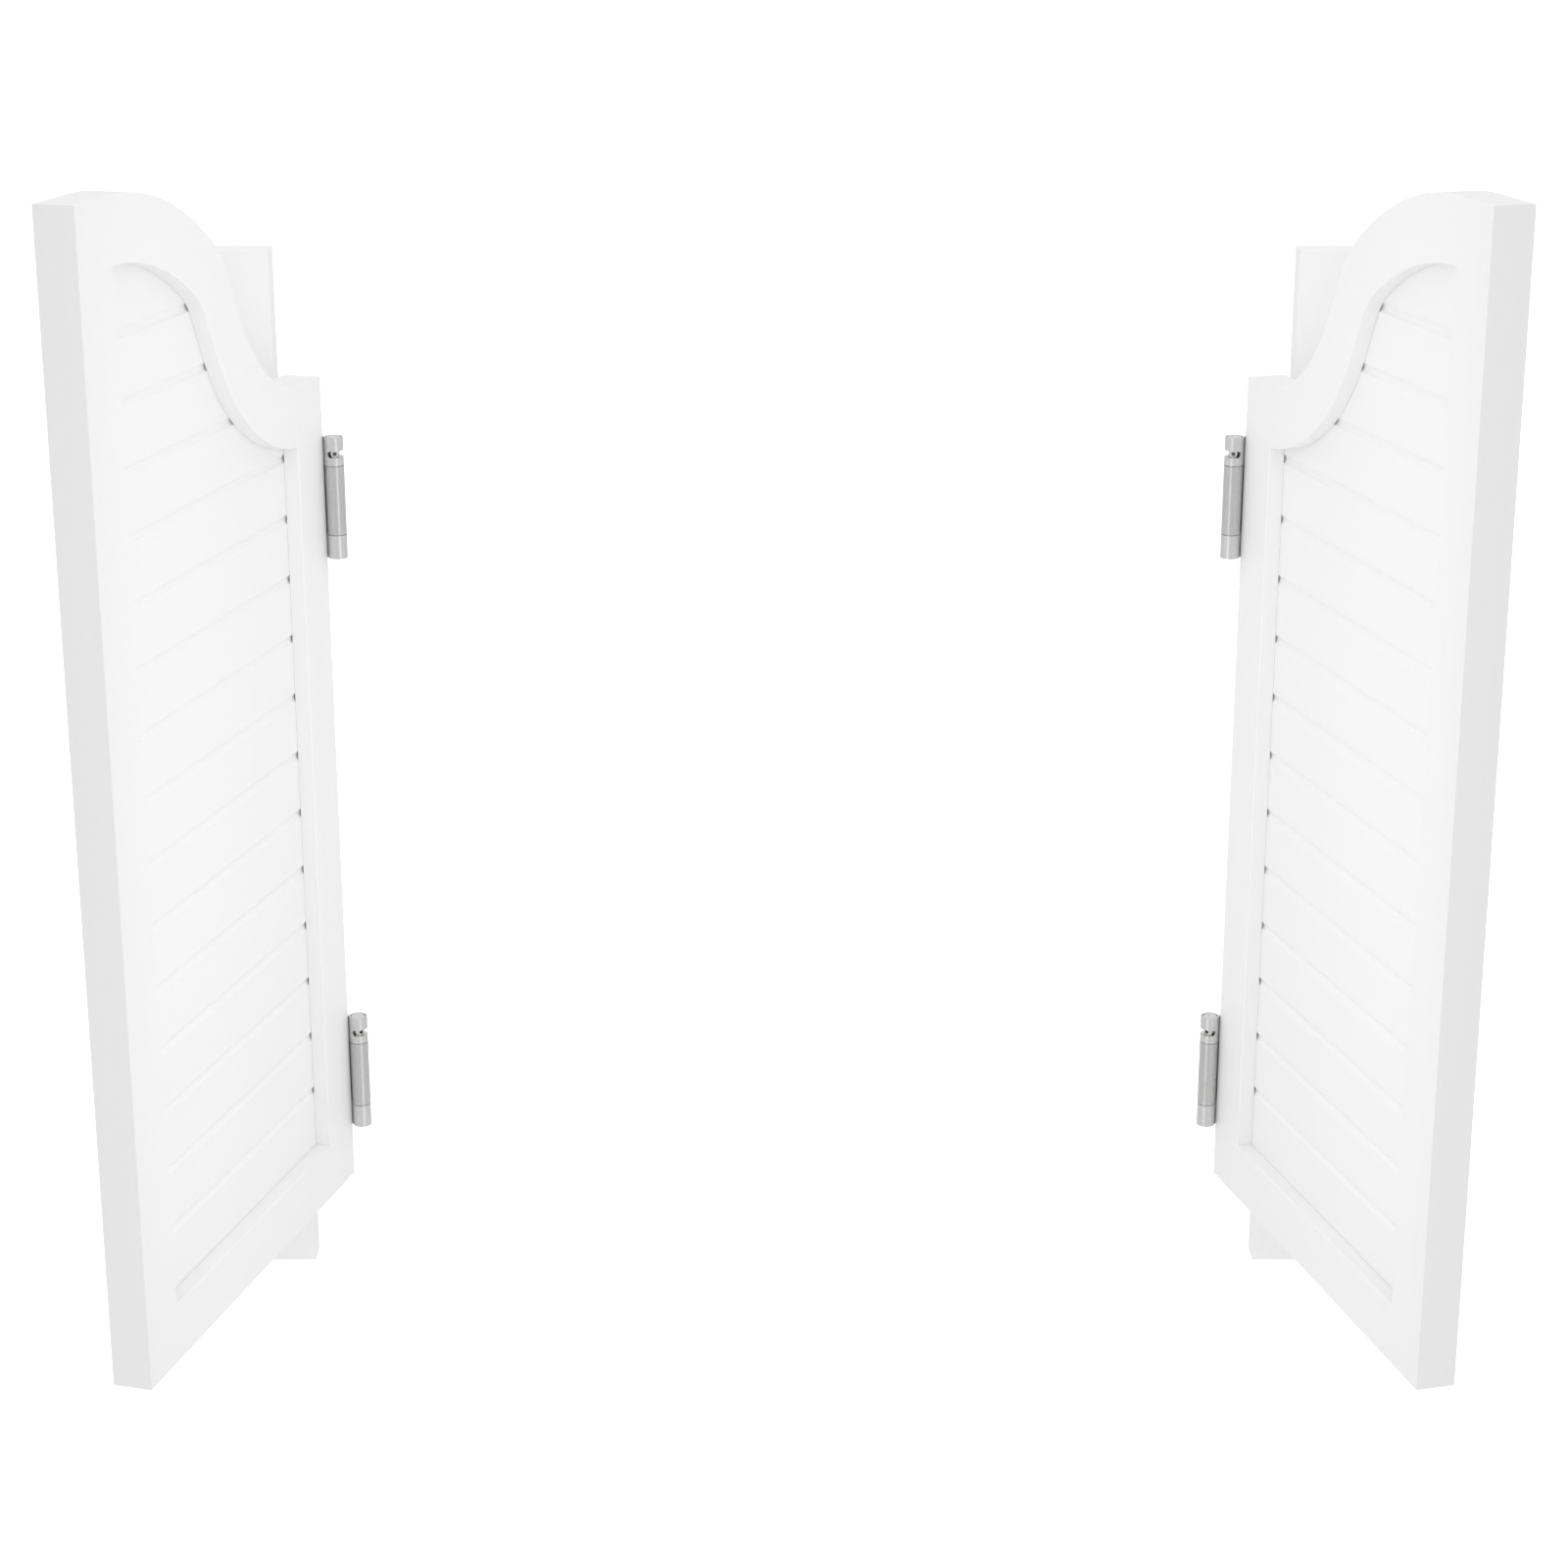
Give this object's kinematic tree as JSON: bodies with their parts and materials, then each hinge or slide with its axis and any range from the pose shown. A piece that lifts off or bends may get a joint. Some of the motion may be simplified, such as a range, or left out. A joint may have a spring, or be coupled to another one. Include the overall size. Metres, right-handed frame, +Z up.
{
  "type": "cafe swinging doors",
  "caption": "Pair of white frame-and-panel cafe doors with swept top rails and grooved panels, hung from slim posts on double-action spring hinges, standing open.",
  "frame": {"origin": "middle of the doorway at the feet of the posts, in the mid-plane of the closed leaves", "axes": "+X to the right along the doorway, +Y through the doorway away from the side the leaves stand open to, +Z up"},
  "size_m": [1.0144, 0.4373, 0.983],
  "materials": {
    "painted_frame": "satin white paint on wood, faint brushed grain",
    "painted_panel": "satin white paint on a grooved board",
    "painted_post": "satin white paint on wood",
    "satin_steel": "satin brushed steel sheet",
    "satin_steel_tube": "satin steel tube, brushed lengthwise",
    "turned_steel": "bright turned steel",
    "spring_wire": "oiled spring wire",
    "zinc_screws": "bright zinc plate",
    "beech": "bare beech dowel"
  },
  "bodies": {
    "posts": {"left_post": "painted_post", "left_lower_hinge_jamb_flange": "satin_steel", "left_lower_hinge_jamb_tension_nut": "turned_steel", "left_upper_hinge_jamb_flange": "satin_steel", "left_upper_hinge_jamb_tension_nut": "turned_steel", "left_jamb_pivots": "turned_steel", "left_jamb_screws": "zinc_screws", "right_post": "painted_post", "right_lower_hinge_jamb_flange": "satin_steel", "right_lower_hinge_jamb_tension_nut": "turned_steel", "right_upper_hinge_jamb_flange": "satin_steel", "right_upper_hinge_jamb_tension_nut": "turned_steel", "right_jamb_pivots": "turned_steel", "right_jamb_screws": "zinc_screws"},
    "left_webs": {"left_lower_hinge_web": "satin_steel_tube", "left_lower_hinge_jamb_spring": "spring_wire", "left_lower_hinge_door_spring": "spring_wire", "left_upper_hinge_web": "satin_steel_tube", "left_upper_hinge_jamb_spring": "spring_wire", "left_upper_hinge_door_spring": "spring_wire", "left_spring_anchors": "turned_steel"},
    "left_leaf": {"left_hinge_stile": "painted_frame", "left_meeting_stile": "painted_frame", "left_bottom_rail": "painted_frame", "left_top_rail": "painted_frame", "left_grooved_panel": "painted_panel", "left_frame_dowels": "beech", "left_lower_hinge_door_flange": "satin_steel", "left_lower_hinge_door_tension_nut": "turned_steel", "left_upper_hinge_door_flange": "satin_steel", "left_upper_hinge_door_tension_nut": "turned_steel", "left_door_pivots": "turned_steel", "left_door_screws": "zinc_screws"},
    "right_webs": {"right_lower_hinge_web": "satin_steel_tube", "right_lower_hinge_jamb_spring": "spring_wire", "right_lower_hinge_door_spring": "spring_wire", "right_upper_hinge_web": "satin_steel_tube", "right_upper_hinge_jamb_spring": "spring_wire", "right_upper_hinge_door_spring": "spring_wire", "right_spring_anchors": "turned_steel"},
    "right_leaf": {"right_hinge_stile": "painted_frame", "right_meeting_stile": "painted_frame", "right_bottom_rail": "painted_frame", "right_top_rail": "painted_frame", "right_grooved_panel": "painted_panel", "right_frame_dowels": "beech", "right_lower_hinge_door_flange": "satin_steel", "right_lower_hinge_door_tension_nut": "turned_steel", "right_upper_hinge_door_flange": "satin_steel", "right_upper_hinge_door_tension_nut": "turned_steel", "right_door_pivots": "turned_steel", "right_door_screws": "zinc_screws"}
  },
  "joints": [
    {"name": "left_post_barrels", "type": "hinge", "parent": "posts", "child": "left_webs", "pos_m": [-0.40955, -0.024, 0.3], "axis": [0, 0, 1], "range_deg": [-15, 105], "stiffness_Nm_per_rad": 0.8, "springref_deg": 125.05},
    {"name": "left_leaf_barrels", "type": "hinge", "parent": "left_webs", "child": "left_leaf", "pos_m": [-0.36319, -0.03642, 0.3], "axis": [0, 0, 1], "range_deg": [0, 90], "stiffness_Nm_per_rad": 0.8, "springref_deg": -20.05},
    {"name": "right_post_barrels", "type": "hinge", "parent": "posts", "child": "right_webs", "pos_m": [0.40955, -0.024, 0.3], "axis": [0, 0, -1], "range_deg": [-15, 105], "stiffness_Nm_per_rad": 0.8, "springref_deg": 125.05},
    {"name": "right_leaf_barrels", "type": "hinge", "parent": "right_webs", "child": "right_leaf", "pos_m": [0.36319, -0.03642, 0.3], "axis": [0, 0, -1], "range_deg": [0, 90], "stiffness_Nm_per_rad": 0.8, "springref_deg": -20.05}
  ]
}
